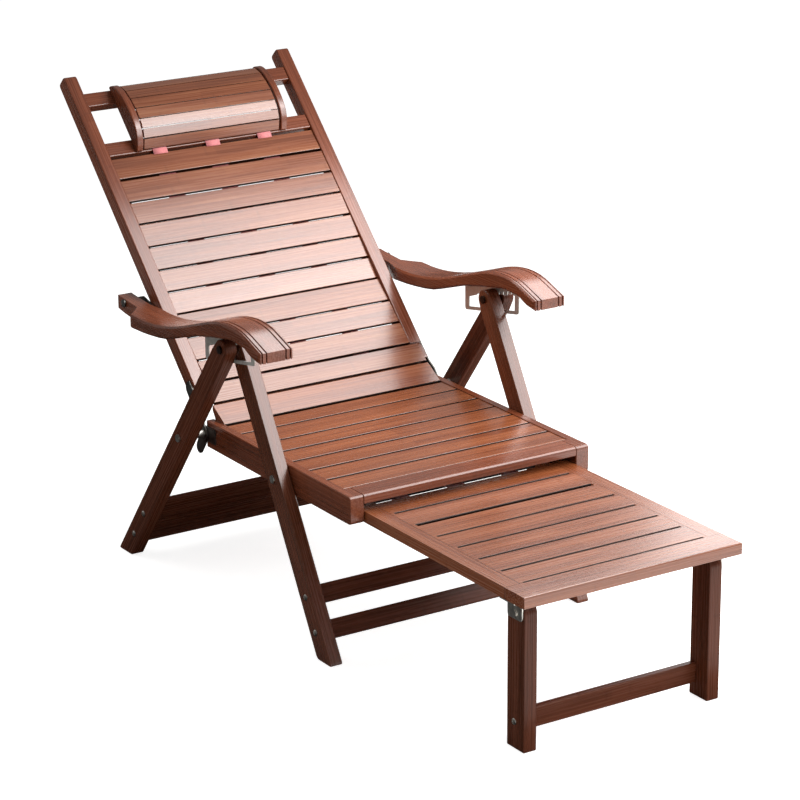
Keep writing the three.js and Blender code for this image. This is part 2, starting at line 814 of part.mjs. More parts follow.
const grooveLine = armTop.filter((p) => p[0] < alongArm(armGrooveShare));
const armNose = alongArm(0);
const grooveLow = underAt(armNose) - overrunLength;
const grooveOutline = [
  [armNose - overrunLength, grooveLow],
  [armNose + armGrooveDepth, grooveLow],
  ...grooveLine.slice(1).map(([y, z]) => [y, z - armGrooveDepth]),
  ...grooveLine.slice(1).map(([y, z]) => [y, z + overrunLength]).reverse(),
  [armNose - overrunLength, topAt(armNose) + overrunLength],
];
const grooves = joined(
  [armGrooveInset, armGrooveInset + armGrooveSpacing].flatMap((inset) =>
    [armInner + inset, armOuter - inset].map((x) =>
      run(grooveOutline, x - armGrooveWidth / 2, x + armGrooveWidth / 2),
    ),
  ),
);
pair(
  "arm",
  "bamboo",
  armSection
    .intersect(planView(plan, 0, apexHeight + armHeight * 2))
    .subtract(grooves)
    .subtract(bore(armPivot, boltRadius, tongueInner, tongueOuter)),
);

// Racks: steel plates under the arms whose teeth ride on the apex pins
const pinInArm = (recline) => {
  const pivot = turn(armPivot, hinge, recline);
  return turn(add(apex, add(armPivot, pivot, -1)), armPivot, -recline * (1 + armRatio));
};
const reclineAt = (i, n) => reclineDown + ((reclineUp - reclineDown) * i) / n;
const pathSteps = 16;
const stepsPast = 2;
const windowTop = Array.from({ length: pathSteps + stepsPast + 1 }, (_, i) =>
  add(pinInArm(reclineAt(i, pathSteps)), [0, 1], apexPinRadius + boreClearance * 1.5),
);
const rackFront = apex[0] - rackFrontLength;
const rackRear = apex[0] + rackRearLength;
const lowAt = (y) =>
  apex[1] - rackFrontDropHeight - ((rackRearDropHeight - rackFrontDropHeight) * (y - rackFront)) / (rackRear - rackFront);
const plateTop = Array.from({ length: 13 }, (_, i) => {
  const y = rackFront + ((rackRear - rackFront) * i) / 12;
  return [y, underAt(y) - seatingGap * 2];
});
const plate = [[rackFront, lowAt(rackFront)], [rackRear, lowAt(rackRear)], ...plateTop.reverse()];
const firstPin = windowTop[0];
const lastPin = windowTop[windowTop.length - 1];
const windowOutline = [
  [rackFront + rackTabWidth, lowAt(rackFront + rackTabWidth) + rackStripWidth],
  [rackRear - rackTabWidth, lowAt(rackRear - rackTabWidth) + rackStripWidth],
  [rackRear - rackTabWidth, lastPin[1] - rackTabWidth],
  add(lastPin, [apexPinRadius * 1.5, -apexPinRadius]),
  ...windowTop.slice().reverse(),
  [rackFront + rackTabWidth, firstPin[1] - turningGap],
];
const teeth = Array.from({ length: reclineStepCount + 1 }, (_, i) => {
  const p = pinInArm(reclineAt(i, reclineStepCount));
  const high = p[1] + apexPinRadius + toothDepth;
  return run(
    rounded(box2(p[0] - toothWidth / 2, p[0] + toothWidth / 2, p[1], high), [0, 0, toothWidth / 2, toothWidth / 2]),
    rackInner - overrunLength,
    rackOuter + overrunLength,
  );
});
pair(
  "arm_rack",
  "steel",
  run(rounded(plate, [rackStripWidth, rackStripWidth]), rackInner, rackOuter)
    .subtract(run(windowOutline, rackInner - overrunLength, rackOuter + overrunLength))
    .subtract(joined(teeth)),
);

// Footrest frame: side rails, boards and slats as one jointed frame, with runners in the rails and
// a bar across its tail
const footGaps = footGapShares.map((share) => share * footrestReachLength);
const footGapWidths = footGaps.map((_, i) => (i === footWideGapNumber ? footWideGapWidth : footGapWidth));
const footRailInner = footHalf - footRailWidth;
const footBoard = (y0, y1, thick, half) =>
  run(rounded(box2(y0, y1, footTop - thick, footTop), easeRadius, 1), -half, half);
const footSides = [-1, 1].map((side) => {
  const [a, b] = [footRailInner, footHalf].map((x) => x * side).sort((p, q) => p - q);
  return run(box2(-footrestReachLength + footFrontBoardWidth - overrunLength, footTailLength, footUnder, footTop), a, b);
});
const footRunners = [-1, 1].map((side) => {
  const [a, b] = [footHalf - overrunLength, footHalf + runnerReachWidth].map((x) => x * side).sort((p, q) => p - q);
  return run(box2(runnerStartDistance, footTailLength, runnerBase, runnerBase + runnerHeight), a, b);
});
const footSlats = footGaps.slice(0, -1).map((gap, i) =>
  footBoard(
    -gap + footGapWidths[i] / 2,
    -footGaps[i + 1] - footGapWidths[i + 1] / 2,
    footSlatThickness,
    footRailInner + overrunLength,
  ),
);
const footEnd = -footGaps[footGaps.length - 1] + footGapWidths[footGaps.length - 1] / 2;
piece(
  "footrest_frame",
  "bamboo",
  joined([
    run(
      rounded(
        box2(-footrestReachLength, -footrestReachLength + footFrontBoardWidth - footGapWidths[0] / 2, footUnder, footTop),
        [easeRadius, 0, 0, easeRadius * 2],
        2,
      ),
      -footHalf,
      footHalf,
    ),
    ...footSides,
    ...footRunners,
    ...footSlats,
    footBoard(footEnd, footEnd + footRearBoardWidth, footSlatThickness, footRailInner + overrunLength),
    footBoard(footTailLength - footTailBarWidth, footTailLength, footrestThickness, footRailInner + overrunLength),
  ]),
);

// Footrest legs, half round at the top about their pivot, with a stretcher and steel brackets
const footPivot = [
  -footrestReachLength + footLegInsetDistance + footLegDepth / 2,
  footUnder - footLegDropGap - footLegDepth / 2,
];
const footLegInner = footLegOuter - footLegThickness;
const footLegCap = Array.from({ length: 13 }, (_, i) => {
  const a = (Math.PI * i) / 12;
  return [
    footPivot[0] + (footLegDepth / 2) * Math.cos(a),
    footPivot[1] + (footLegDepth / 2) * Math.sin(a),
  ];
});
const footLegOutline = [
  [footPivot[0] - footLegDepth / 2, 0],
  [footPivot[0] + footLegDepth / 2, 0],
  ...footLegCap,
];
const footPinDepth = footLegThickness * 0.6;
pair(
  "footrest_leg",
  "dark",
  run(
    rounded(footLegOutline, footLegOutline.map((_, i) => (i < 2 ? easeRadius * 2 : 0))),
    footLegInner,
    footLegOuter,
    easeRadius,
  ).subtract(disc(footPivot, boltRadius + boreClearance, footLegOuter - footPinDepth - turningGap, footLegOuter + overrunLength)),
);
piece(
  "footrest_stretcher",
  "dark",
  run(
    rounded(
      box2(
        footPivot[0] + footLegDepth / 2 - footStretcherThickness * 1.3,
        footPivot[0] + footLegDepth / 2 - footStretcherThickness * 0.3,
        footStretcherLiftHeight,
        footStretcherLiftHeight + footStretcherWidth,
      ),
      easeRadius,
      1,
    ),
    -footLegInner + seatingGap,
    footLegInner - seatingGap,
  ),
);
const bracketInner = footLegOuter + seatingGap;
const bracketTop = footUnder - seatingGap;
const bracketHalf = footLegDepth * 0.42;
pair(
  "footrest_bracket",
  "steel",
  joined([
    run(
      rounded(
        box2(footPivot[0] - bracketHalf, footPivot[0] + bracketHalf, bracketTop - footBracketHeight, bracketTop),
        [bracketHalf / 3, bracketHalf / 3, 0, 0],
      ),
      bracketInner,
      bracketInner + footBracketThickness,
    ),
    run(
      box2(footPivot[0] - bracketHalf, footPivot[0] + bracketHalf, bracketTop - footBracketThickness, bracketTop),
      bracketInner,
      footHalf - turningGap,
    ),
    disc(footPivot, boltRadius, footLegOuter - footPinDepth, bracketInner + footBracketThickness / 2),
    disc(footPivot, boltHeadRadius * 0.8, bracketInner + footBracketThickness / 2, bracketInner + footBracketThickness * 1.8),
  ]),
);

// The origin moves to the middle of the chair's length
const extent = new THREE.Box3().setFromObject(chair);
const middle = (extent.min.y + extent.max.y) / 2;
chair.children.forEach((mesh) => mesh.geometry.translate(0, -middle, 0));

export default chair;
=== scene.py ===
# A folding recliner in lacquered laminated bamboo: slatted seat, slatted back with a half-round
# headrest, curved arms on toothed steel racks, two crossed pairs of legs, and a footrest that
# slides out from under the seat on its own folding legs. Metres, z up, the sitter faces -y.
import math
import bmesh
import bpy
from mathutils import Matrix, Vector


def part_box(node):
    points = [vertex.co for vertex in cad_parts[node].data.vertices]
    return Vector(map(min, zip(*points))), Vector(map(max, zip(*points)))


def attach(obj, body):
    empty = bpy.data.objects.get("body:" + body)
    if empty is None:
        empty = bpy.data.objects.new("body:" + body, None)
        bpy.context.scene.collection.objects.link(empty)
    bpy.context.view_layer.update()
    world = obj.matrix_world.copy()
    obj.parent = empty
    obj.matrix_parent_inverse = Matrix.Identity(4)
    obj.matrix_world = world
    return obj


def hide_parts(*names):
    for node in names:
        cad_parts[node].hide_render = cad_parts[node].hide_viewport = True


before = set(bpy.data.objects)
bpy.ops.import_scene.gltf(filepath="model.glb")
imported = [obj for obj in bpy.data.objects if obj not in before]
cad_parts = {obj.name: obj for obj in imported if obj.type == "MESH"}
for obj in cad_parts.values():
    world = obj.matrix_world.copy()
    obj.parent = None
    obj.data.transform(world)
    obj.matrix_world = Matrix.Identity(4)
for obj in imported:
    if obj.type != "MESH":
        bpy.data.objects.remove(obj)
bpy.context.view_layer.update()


# ---- Camera and studio light ----
# The camera stands off the chair's front left corner, a little above it, with a long lens. One
# tall softbox leans over the front on the right, where the headrest and the front legs mirror it,
# and a tilted strip hangs lower, for the seat's rear slat and the arms. Another stands low behind
# on the right, and its sheen lies on the footrest's right corner. Two weak ones fill the front
# faces and, from behind on the left, the back.
camera_turn, camera_rise, camera_roll = math.radians(-32.90), math.radians(18.20), math.radians(-0.26)
camera_back = Vector((
    math.sin(camera_turn) * math.cos(camera_rise),
    -math.cos(camera_turn) * math.cos(camera_rise),
    math.sin(camera_rise),
))
level = Vector((math.cos(camera_turn), math.sin(camera_turn), 0))
upright = camera_back.cross(level)
camera_right = math.cos(camera_roll) * level + math.sin(camera_roll) * upright
camera_up = camera_back.cross(camera_right)
lens = bpy.data.cameras.new("studio_camera")
lens.lens, lens.sensor_width = 137.66, 36
lens.shift_x, lens.shift_y = -0.0080, -0.0057
lens.clip_start, lens.clip_end = 0.1, 60
camera = bpy.data.objects.new("studio_camera", lens)
turned = Matrix((camera_right, camera_up, camera_back)).transposed().to_4x4()
camera.matrix_world = Matrix.Translation((-3.05565, -4.80581, 2.27935)) @ turned
bpy.context.scene.collection.objects.link(camera)
bpy.context.scene.camera = camera
bpy.context.scene.view_settings.view_transform = "Standard"


def softbox(name, centre, aim, length_way, width, length, power):
    """A rectangular area lamp in watts, with its length along length_way, that faces aim."""
    lamp = bpy.data.lights.new(name, "AREA")
    lamp.shape, lamp.size, lamp.size_y, lamp.energy = "RECTANGLE", width, length, power
    facing = (Vector(centre) - Vector(aim)).normalized()
    long_way = Vector(length_way)
    long_way = (long_way - facing * long_way.dot(facing)).normalized()
    box = bpy.data.objects.new(name, lamp)
    turned = Matrix((long_way.cross(facing), long_way, facing)).transposed().to_4x4()
    box.matrix_world = Matrix.Translation(centre) @ turned
    box.visible_camera = False
    bpy.context.scene.collection.objects.link(box)


softbox("softbox_front", (1.08, -1.074, 1.748), (0.13, -0.024, 0.268), (0, 0.81, 0.58), 1.4, 1.9, 51)
softbox("softbox_strip", (0.47, 0.08, 1.335), (0.47, -0.386, 0.45), (1, 0, 0), 0.76, 1.15, 13)
softbox("softbox_low", (2.32, 1.42, 1.25), (0.2, -0.7, 0.31), (0, 0, 1), 0.8, 0.9, 7.5)
softbox("softbox_fill", (0.3, -3.2, 1.4), (0.0, 0.0, 0.4), (1, 0, 0), 1.5, 2.0, 19)
softbox("softbox_rear", (-1.9, 2.3, 1.5), (0.0, 0.1, 0.4), (0, 0, 1), 1.5, 1.5, 16)

# Dark cards, which show only in reflections, stand along the chair's left side, lie under it and
# stand low behind it, out of the picture, so that the left faces, the undersides and the arms'
# dips mirror them and keep the lacquer's depth. They paint shade into those reflections; the one
# under the chair stands for the chair's shadow on the floor.
card_shape = bmesh.new()
quarter = math.pi / 2
for centre, turn, size in (
    ((-0.75, 0.9, 0.9), Matrix.Rotation(quarter, 4, "Y"), (1.8, 4.2, 1, 1)),
    ((-0.35, 0.45, 0.002), Matrix.Identity(4), (2.1, 2.7, 1, 1)),
    ((1.3, 2.9, 0.45), Matrix.Rotation(quarter, 4, "X"), (3.8, 0.9, 1, 1)),
):
    bmesh.ops.create_grid(
        card_shape, x_segments=1, y_segments=1, size=0.5,
        matrix=Matrix.Translation(centre) @ turn @ Matrix.Diagonal(size),
    )
card_data = bpy.data.meshes.new("dark_card")
card_shape.to_mesh(card_data)
card_shape.free()
card = bpy.data.objects.new("dark_card", card_data)
bpy.context.scene.collection.objects.link(card)
card.visible_camera = card.visible_diffuse = card.visible_shadow = card.visible_transmission = False
card_cloth = bpy.data.materials.new("black_card")
card_cloth.use_nodes = True
card_cloth.node_tree.nodes["Principled BSDF"].inputs["Base Color"].default_value = (0.02, 0.02, 0.02, 1)
card_data.materials.append(card_cloth)


# ---- Rear legs ----
# Two straight legs of laminated bamboo, tied by two wide boards near the floor. Their lacquer is
# painted darker than the frames' red, as painted shade, since they lie in shadow. This section
# holds the functions that every wooden piece uses.
def linear(code):
    """An sRGB hex colour as linear RGBA."""
    parts = [int(code[i:i + 2], 16) / 255 for i in (1, 3, 5)]
    return tuple(c / 12.92 if c <= 0.04045 else ((c + 0.055) / 1.055) ** 2.4 for c in parts) + (1,)


def add_node(tree, kind, links=(), **settings):
    """A shader node, its settings, and links into it as (input, output socket or value)."""
    made = tree.nodes.new(kind)
    for key, value in settings.items():
        setattr(made, key, value)
    for key, value in dict(links).items():
        if isinstance(value, bpy.types.NodeSocket):
            tree.links.new(value, made.inputs[key])
        else:
            made.inputs[key].default_value = value
    return made


def new_material(name):
    """A material by that name, its node tree and its shader."""
    material = bpy.data.materials.new(name)
    material.use_nodes = True
    tree = material.node_tree
    shader = tree.nodes["Principled BSDF"]
    return material, tree, shader


bamboos = {}


def lacquered_bamboo(tone, grain):
    """Laminated bamboo strips under satin lacquer. grain is "x", or the angle in degrees of the
    fibres above +y in the side view. Fibres give fine streaks 2 to 4 mm apart, the strips are
    20 mm wide with their own tone, and each has a darker joint about every 300 mm. The tones are
    red and leg for the frames, and slat and back for the slats. A darker copy of red is painted
    shade for pieces that lie in shadow. The near-black edge tone is painted shade on the walls of
    the gaps between slats and in the headrest's joints, and the own dark colour of the footrest's
    joints. Each has three colours, its specular level and its coat."""
    if (tone, grain) in bamboos:
        return bamboos[tone, grain]
    dark, mid, light, gloss, coat = {
        "edge": ("#140805", "#1d0d08", "#2a140c", 0.1, 0.0),
        "painted_shade": ("#462313", "#5d3120", "#6f3e2b", 0.2, 0.0),
        "leg": ("#502712", "#6a361f", "#7e452c", 0.5, 0.7),
        "red": ("#5c2c17", "#773b21", "#8c4c30", 0.5, 0.7),
        "slat": ("#6e351d", "#8c4c2a", "#a35f3b", 0.5, 0.85),
        "back": ("#673722", "#83492d", "#99603f", 0.5, 0.9),
    }[tone]
    way = str(grain).replace(".", "_").replace("-", "n")
    material, tree, shader = new_material(f"lacquered_bamboo_{tone}_{way}")
    place = add_node(tree, "ShaderNodeTexCoord").outputs["Object"]
    if grain != "x":
        place = add_node(tree, "ShaderNodeMapping", {
            "Vector": place, "Rotation": (-math.radians(grain), 0, -math.pi / 2),
        }).outputs["Vector"]
    # Strips, 20 mm wide and 1.1 m long
    cell = add_node(
        tree, "ShaderNodeVectorMath", {0: place, 1: (0.9, 50, 50)}, operation="MULTIPLY",
    )
    cell = add_node(tree, "ShaderNodeVectorMath", {0: cell.outputs[0]}, operation="FLOOR")
    strip = add_node(
        tree, "ShaderNodeTexWhiteNoise", {"Vector": cell.outputs[0]}, noise_dimensions="3D",
    ).outputs["Value"]
    # Fibres, 3 mm apart and 200 mm long, and clouds 26 mm wide and 400 mm long
    stretched = add_node(
        tree, "ShaderNodeVectorMath", {0: place, 1: (5, 300, 300)}, operation="MULTIPLY",
    )
    fibre = add_node(tree, "ShaderNodeTexNoise", {
        "Vector": stretched.outputs[0], "Scale": 1.0, "Detail": 3.0, "Roughness": 0.6,
    }).outputs["Fac"]
    broad = add_node(
        tree, "ShaderNodeVectorMath", {0: place, 1: (2.5, 38, 38)}, operation="MULTIPLY",
    )
    cloud = add_node(tree, "ShaderNodeTexNoise", {
        "Vector": broad.outputs[0], "Scale": 1.0, "Detail": 2.0, "Roughness": 0.5,
    }).outputs["Fac"]
    tone_sum = -0.08
    for part, share in ((strip, 0.16), (fibre, 0.9), (cloud, 0.7)):
        tone_sum = add_node(
            tree, "ShaderNodeMath", {0: part, 1: share, 2: tone_sum}, operation="MULTIPLY_ADD",
        ).outputs[0]
    tone_sum = add_node(tree, "ShaderNodeMath", {0: tone_sum, 1: 0.3}, operation="SUBTRACT").outputs[0]
    ramp = add_node(tree, "ShaderNodeValToRGB", {"Fac": tone_sum})
    low, high = ramp.color_ramp.elements
    low.position, low.color = 0.2, linear(dark)
    high.position, high.color = 0.85, linear(light)
    ramp.color_ramp.elements.new(0.52).color = linear(mid)
    # Joints of the cane, a thin darker line across each strip every 310 mm
    along = add_node(tree, "ShaderNodeSeparateXYZ", {0: place}).outputs[0]
    along = add_node(
        tree, "ShaderNodeMath", {0: strip, 1: 0.9, 2: along}, operation="MULTIPLY_ADD",
    ).outputs[0]
    along = add_node(tree, "ShaderNodeMath", {0: along, 1: 0.155}, operation="PINGPONG").outputs[0]
    joint = add_node(tree, "ShaderNodeMapRange", {
        "Value": along, "From Min": 0.0, "From Max": 0.004, "To Min": 0.35, "To Max": 0.0,
    }).outputs["Result"]
    colour = add_node(tree, "ShaderNodeMix", {
        "Factor": joint, 6: ramp.outputs["Color"], 7: linear(dark),
    }, data_type="RGBA").outputs[2]
    tree.links.new(colour, shader.inputs["Base Color"])
    rough = add_node(tree, "ShaderNodeMapRange", {
        "Value": fibre, "From Min": 0.3, "From Max": 0.7, "To Min": 0.22, "To Max": 0.32,
    }).outputs["Result"]
    tree.links.new(rough, shader.inputs["Roughness"])
    height = add_node(
        tree, "ShaderNodeMath", {0: joint, 1: -1.2, 2: fibre}, operation="MULTIPLY_ADD",
    ).outputs[0]
    bump = add_node(tree, "ShaderNodeBump", {"Height": height, "Strength": 0.35, "Distance": 0.0004})
    tree.links.new(bump.outputs["Normal"], shader.inputs["Normal"])
    shader.inputs["Specular IOR Level"].default_value = gloss
    shader.inputs["Coat Weight"].default_value = coat
    shader.inputs["Coat Roughness"].default_value = 0.24
    shader.inputs["IOR"].default_value = 1.5
    bamboos[tone, grain] = material
    return material


def eased(node, body, materials, width=0.0009, slot=None, sharp=25, segments=2, then=None):
    """A CAD piece again with its edges sanded round. then may cut it or share out its materials."""
    shape = bmesh.new()
    shape.from_mesh(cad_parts[node].data)
    bmesh.ops.remove_doubles(shape, verts=shape.verts, dist=2e-5)
    bmesh.ops.dissolve_limit(
        shape, angle_limit=math.radians(1), use_dissolve_boundaries=False,
        verts=shape.verts, edges=shape.edges, delimit={"NORMAL"},
    )
    edges = [
        edge for edge in shape.edges
        if len(edge.link_faces) == 2 and edge.calc_face_angle(0) > math.radians(sharp)
    ]
    if width:
        bmesh.ops.bevel(
            shape, geom=edges, offset=width, offset_type="OFFSET", affect="EDGES",
            segments=segments, profile=0.5, material=-1, clamp_overlap=True,
        )
    if then:
        then(shape)
    return finished(shape, f"{node}_made", body, materials, slot, node)


def finished(shape, name, body, materials, slot=None, *nodes):
    """A bmesh as a piece of the chair, smooth between its sharp edges, in place of the nodes."""
    data = bpy.data.meshes.new(name)
    shape.to_mesh(data)
    shape.free()
    data.polygons.foreach_set("use_smooth", [True] * len(data.polygons))
    data.set_sharp_from_angle(angle=math.radians(32))
    for material in materials if isinstance(materials, list) else [materials]:
        data.materials.append(material)
    piece = bpy.data.objects.new(name, data)
    bpy.context.scene.collection.objects.link(piece)
    weighted = piece.modifiers.new("even_shading", "WEIGHTED_NORMAL")
    weighted.keep_sharp = True
    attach(piece, body)
    if nodes:
        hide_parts(*nodes)
    return piece


rear_leg_angle = -52.4
for side in ("left", "right"):
    eased(f"rear_leg_{side}", "rear_frame", lacquered_bamboo("painted_shade", rear_leg_angle), slot="bamboo_dark")
for which in ("upper", "lower"):
    eased(f"rear_stretcher_{which}", "rear_frame", lacquered_bamboo("painted_shade", "x"), slot="bamboo_dark")


# ---- Front legs ----
# The same stock as the rear legs, crossing them under the arms, with two narrow stretchers.
front_leg_angle = 60.37
for side in ("left", "right"):
    eased(f"front_leg_{side}", "front_legs", lacquered_bamboo("leg", front_leg_angle), slot="bamboo_dark")
for which in ("upper", "lower"):
    # The stretchers take red darkened as painted shade, since they lie in shadow.
    eased(f"front_stretcher_{which}", "front_legs", lacquered_bamboo("painted_shade", "x"), slot="bamboo_dark")


# ---- Seat ----
# Two tall rails carry a thick nose board and seven slats let into a rebate. The last piece climbs
# over the hinge towards the back. The rails' fibres run front to back, the slats' across. The
# walls of the gaps between the slats are painted near black, as painted shade.
def paint_gap_shade(shape, way, least=0.6):
    """Gives a slat's two long edges, which face along way, the second material: painted shade on the walls
    of the gaps.
    """
    for face in shape.faces:
        if abs(face.normal.dot(way)) > least:
            face.material_index = 1


def middle_of(shape):
    """The mean of a bmesh's vertices."""
    return sum((vert.co for vert in shape.verts), Vector()) / len(shape.verts)


# The second of these, the edge tone, is painted shade for the walls of the gaps between slats.
slat_woods = [lacquered_bamboo("slat", "x"), lacquered_bamboo("edge", "x")]
for side in ("left", "right"):
    eased(f"seat_rail_{side}", "seat", lacquered_bamboo("red", 0), slot="bamboo_dark")
eased("seat_nose_board", "seat", lacquered_bamboo("red", "x"), 0.005, slot="bamboo", segments=5)
for number in range(1, 8):
    eased(f"seat_slat_{number}", "seat", slat_woods, 0.0007, slot="bamboo",
          then=lambda shape: paint_gap_shade(shape, Vector((0, 1, 0))))


def tilted(shape):
    """The rear slat leans 9 degrees more, nearly as steep as the back, and takes the same sheen.
    It turns about a line 12 mm behind its middle, which keeps its rear edge clear of the back."""
    bmesh.ops.rotate(
        shape, verts=shape.verts, cent=middle_of(shape) + Vector((0, 0.012, 0)),
        matrix=Matrix.Rotation(math.radians(9), 3, "X"),
    )
    # Its long edges take painted shade, as the other slats' gaps do.
    paint_gap_shade(shape, Vector((0, 0.85, 0)))


eased("seat_rear_slat", "seat", slat_woods, 0.0006, slot="bamboo", then=tilted)


# ---- Back ----
# Two stiles, two rails and eleven thin slats, dished a little for the sitter. The slats are the
# palest and glossiest wood on the chair.
back_angle = 45.3
for side in ("left", "right"):
    eased(f"back_stile_{side}", "back", lacquered_bamboo("red", back_angle), slot="bamboo")
for which in ("top", "head"):
    eased(f"back_{which}_rail", "back", lacquered_bamboo("red", "x"), slot="bamboo")
hinge_y, hinge_z = 0.22883, 0.317
back_up = Vector((0, 0.7034, 0.7108))
back_front = Vector((0, -0.7108, 0.7034))


def on_back(x, along, ahead):
    """A point by its distance up the back from the hinge, and in front of the hinge."""
    return Vector((x, hinge_y, hinge_z)) + back_up * along + back_front * ahead


# The gaps differ a little, so some slats are made wider at their upper edge. The eighth and the
# last are turned a little, by these degrees, from their places in the dish.
wider = {3: 0.0006, 4: 0.002, 5: 0.0012, 6: 0.0018, 7: 0.0014, 8: 0.0018, 9: 0.001, 10: 0.001}
turned_by = {8: 3.0, 11: 4.0}


def fitted_slat(number, shape, upper_part=0.02):
    """Widens a slat at its upper edge, turns it and paints shade on its long edges."""
    middle = middle_of(shape)
    for vert in shape.verts:
        if (vert.co - middle).dot(back_up) > upper_part:
            vert.co += back_up * wider.get(number, 0)
    bmesh.ops.rotate(
        shape, verts=shape.verts, cent=middle,
        matrix=Matrix.Rotation(math.radians(turned_by.get(number, 0)), 3, "X"),
    )
    paint_gap_shade(shape, back_up)


# The second material is painted shade for the walls of the gaps between the slats.
back_woods = [lacquered_bamboo("back", "x"), lacquered_bamboo("edge", "x")]
for number in range(1, 12):
    eased(f"back_slat_{number}", "back", back_woods, 0.0006, slot="bamboo_slats",
          then=lambda shape: fitted_slat(number, shape))


# ---- Battens and ledges behind the back's slats ----
# Three battens cross between the stiles behind the top slat and the two bottom ones, where nothing
# shows through the gaps. Slim ledges on the stiles' inner faces follow the dish and carry the
# slats' ends.
def carried(shape, swept, way):
    """Moves what an extrusion made, and returns its vertices."""
    verts = [made for made in swept["geom"] if isinstance(made, bmesh.types.BMVert)]
    bmesh.ops.translate(shape, verts=verts, vec=way)
    return verts


def bar(shape, half, corners):
    """Adds a bar across the back, by half its length and the corners of its section."""
    face = shape.faces.new([shape.verts.new(on_back(-half, *corner)) for corner in corners])
    carried(shape, bmesh.ops.extrude_face_region(shape, geom=[face]), (2 * half, 0, 0))


def strip_along(shape, places, way):
    """Adds a strip that runs through the places and is as wide as way is long."""
    line = [shape.verts.new(place) for place in places]
    edges = [shape.edges.new(pair) for pair in zip(line, line[1:])]
    return line + carried(shape, bmesh.ops.extrude_edge_only(shape, edges=edges), way)


batten_half, ledge_width, ledge_thickness, ledge_gap = 0.2405, 0.0085, 0.006, 0.0003
shape = bmesh.new()
for low, high, behind, ahead in (
    (0.566, 0.6305, -0.001, 0.0085), (0.090, 0.125, 0.003, 0.0110), (0.0445, 0.056, 0.0165, 0.0258),
):
    bar(shape, batten_half, [(low, behind), (high, behind), (high, ahead), (low, ahead)])
bmesh.ops.recalc_face_normals(shape, faces=shape.faces)
bmesh.ops.bevel(
    shape, geom=shape.edges[:], offset=0.001, offset_type="OFFSET", affect="EDGES", segments=2,
    profile=0.5, material=-1, clamp_overlap=True,
)
# The battens take red darkened as painted shade, since they lie in shadow behind the slats.
finished(shape, "back_battens", "back", lacquered_bamboo("painted_shade", "x"), "bamboo")

slat_backs = []
for number in range(2, 11):
    hinge = Vector((0, hinge_y, hinge_z))
    places = [vert.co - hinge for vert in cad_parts[f"back_slat_{number}"].data.vertices]
    places = [(place.dot(back_up), place.dot(back_front)) for place in places]
    middle = sum(along for along, _ in places) / len(places)
    slat_backs.append(min((p for p in places if p[0] > middle), key=lambda p: p[1]))
    slat_backs.append(min((p for p in places if p[0] < middle), key=lambda p: p[1]))
shape = bmesh.new()
for outer in (-batten_half, batten_half):
    places = [on_back(outer, along, ahead - ledge_gap) for along, ahead in slat_backs]
    verts = strip_along(shape, places, -back_front * ledge_thickness)
    faces = [face for face in shape.faces if all(vert in verts for vert in face.verts)]
    swept = bmesh.ops.extrude_face_region(shape, geom=faces)
    carried(shape, swept, (-math.copysign(ledge_width, outer), 0, 0))
bmesh.ops.recalc_face_normals(shape, faces=shape.faces)
# The ledges take the same painted shade.
finished(shape, "back_ledges", "back", lacquered_bamboo("painted_shade", back_angle), "bamboo")


# ---- Headrest ----
# Two D-shaped cheeks hold eight flat narrow slats set round a half cylinder, with fine joints
# whose walls are painted dark as shade. The slats stop a little short of the cheeks. Each slat is
# given by its two outer edges.
for side in ("left", "right"):
    eased(f"headrest_cheek_{side}", "back", lacquered_bamboo("red", back_angle), 0.0008,
          slot="bamboo")
head_half, head_slat_thickness, head_taper = 0.1614, 0.0075, 0.0018
head_slats = [
    ((0.6403, 0.0271), (0.6541, 0.0442)), ((0.6560, 0.0458), (0.6727, 0.0553)),
    ((0.6741, 0.0557), (0.6941, 0.0599)), ((0.6955, 0.0601), (0.7194, 0.0613)),
    ((0.7208, 0.0612), (0.7464, 0.0576)), ((0.7477, 0.0573), (0.7695, 0.0510)),
    ((0.7707, 0.0505), (0.7883, 0.0403)), ((0.7892, 0.0395), (0.7980, 0.0265)),
]
shape = bmesh.new()
for start, end in head_slats:
    start, end = Vector(start), Vector(end)
    run = (end - start).normalized()
    inward = Vector((run.y, -run.x)) * head_slat_thickness
    bar(shape, head_half, [start, end, end + inward - run * head_taper, start + inward + run * head_taper])
bmesh.ops.recalc_face_normals(shape, faces=shape.faces)
# The slats' side walls in the joints take the second material, painted shade.
largest_wall = head_slat_thickness * 1.2 * 2 * head_half
for face in shape.faces:
    if abs(face.normal.x) < 0.5 and face.calc_area() < largest_wall:
        face.material_index = 1
bmesh.ops.bevel(
    shape, geom=shape.edges[:], offset=0.0005, offset_type="OFFSET", affect="EDGES", segments=2,
    profile=0.5, material=0, clamp_overlap=True,
)
finished(shape, "headrest_slats_made", "back", back_woods, "bamboo_slats", "headrest_slats")


# ---- Arms ----
# Swept boards that narrow to a tongue at the back, with two fine grooves along each edge of the
# front half.
for side in ("left", "right"):
    eased(f"arm_{side}", f"arm_assembly_{side}", lacquered_bamboo("red", 0), 0.0006,
          slot="bamboo", sharp=30)


# ---- Footrest ----
# A slatted frame on runners. Its side rails' fibres run front to back, and fine joints part them
# from the slats and the front board. Its folding legs are half round at the top and tied by a
# stretcher.
foot_rail_inner, foot_board_rear, foot_front = 0.206, -0.7627, -0.8217
joint_width, gap_ease, front_edge = 0.0008, 0.0009, 0.012


